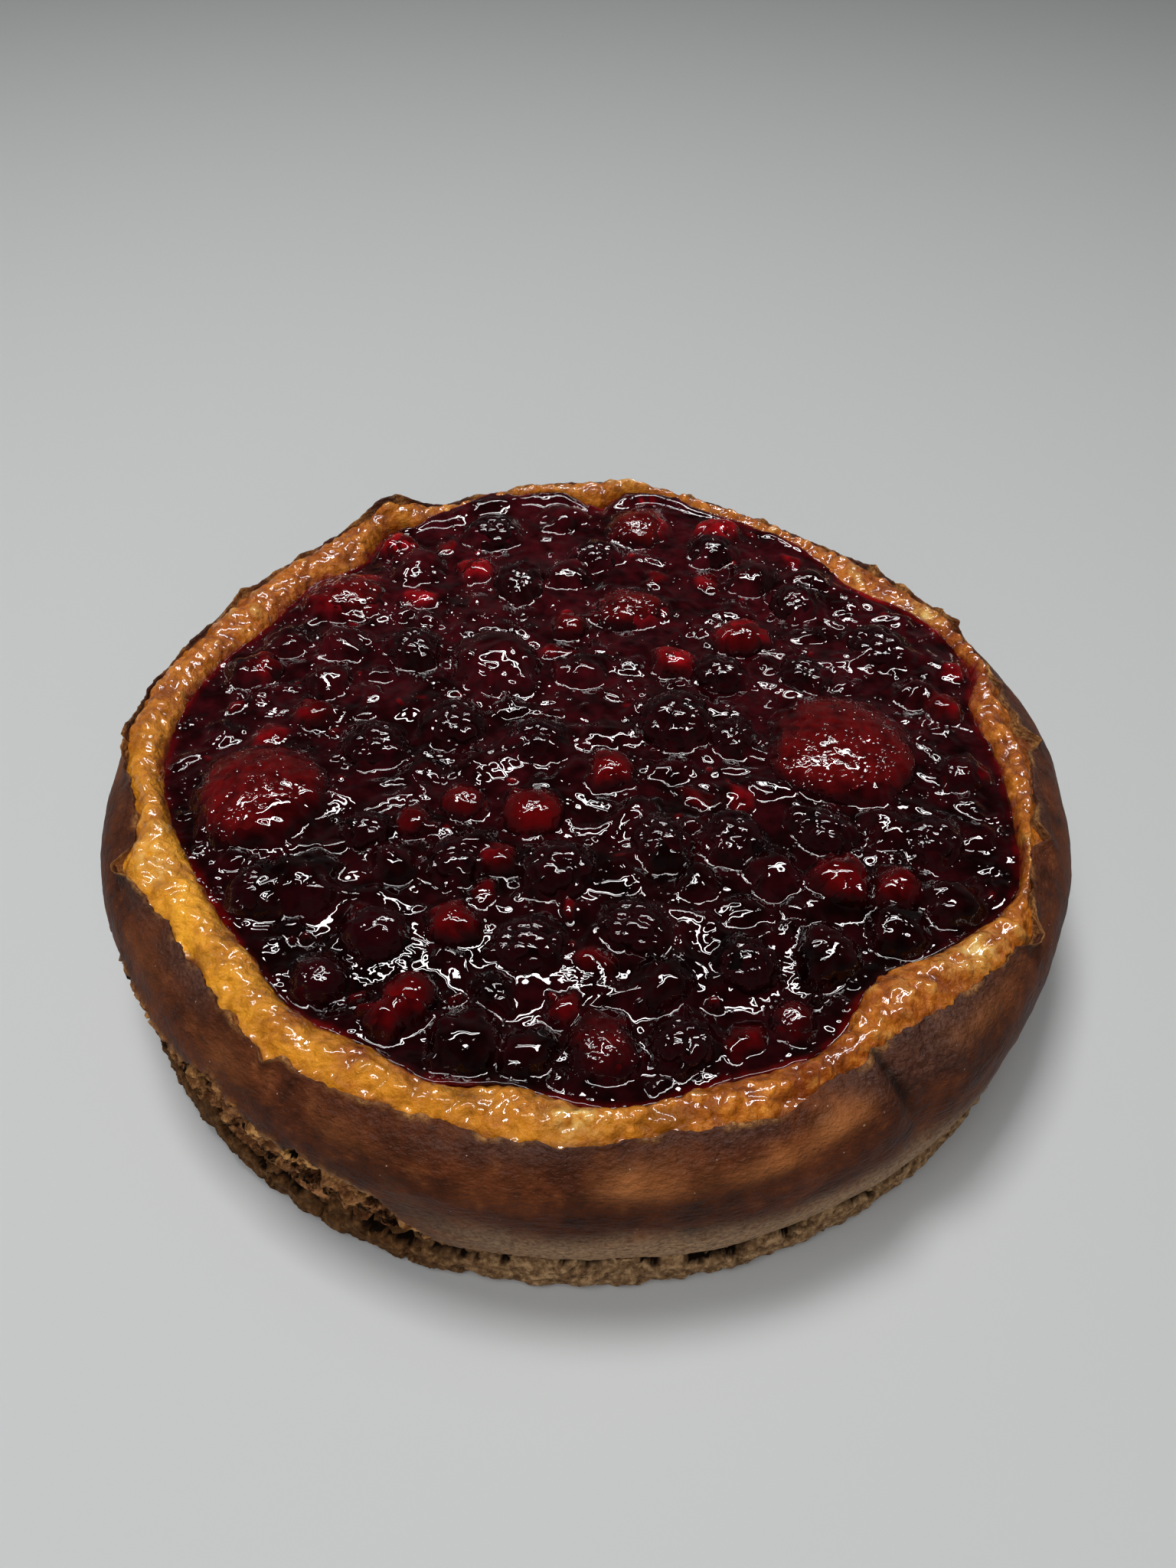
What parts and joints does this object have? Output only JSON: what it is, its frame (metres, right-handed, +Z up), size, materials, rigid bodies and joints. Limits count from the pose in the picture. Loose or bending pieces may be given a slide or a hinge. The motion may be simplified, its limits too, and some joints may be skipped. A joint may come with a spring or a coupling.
{
  "type": "baked cheesecake",
  "caption": "Whole round baked cheesecake on a biscuit crumb base, with a golden rim, a dark baked side torn at one edge, and a sunken top filled with glazed mixed berries.",
  "frame": {"origin": "centre of the flat underside of the biscuit base, on the surface the cake stands on", "axes": "+Z up through the cake, -Y towards the front that the picture shows, +X to the right"},
  "size_m": [0.2608, 0.2608, 0.0643],
  "materials": {
    "biscuit": "coarse brown biscuit crumb, dry and matt",
    "crust": "baked cheesecake: golden glossy rim over a dark brown leathery side",
    "jelly": "wet, near-black red fruit jelly over mixed berries",
    "strawberry": "deep red strawberry under a wet glaze",
    "cherry": "red to black cherry under a wet glaze",
    "bramble": "black bramble with drupelets under a wet glaze"
  },
  "bodies": {
    "root": {"biscuit_base": "biscuit", "cheesecake": "crust", "fruit_topping": "jelly", "strawberry_left": "strawberry", "strawberry_right": "strawberry", "strawberry_back_left": "strawberry", "strawberry_back": "strawberry", "strawberry_middle": "strawberry", "strawberry_front": "strawberry", "cherry_red_large": "cherry", "cherry_red_small": "cherry", "cherry_red_front": "cherry", "cherry_dark_left": "cherry", "cherry_dark_front": "cherry", "cherry_dark_right": "cherry", "bramble_left": "bramble", "bramble_centre_left": "bramble", "bramble_centre": "bramble", "bramble_back": "bramble", "bramble_back_right": "bramble", "bramble_front_left": "bramble", "bramble_front": "bramble"}
  },
  "joints": []
}
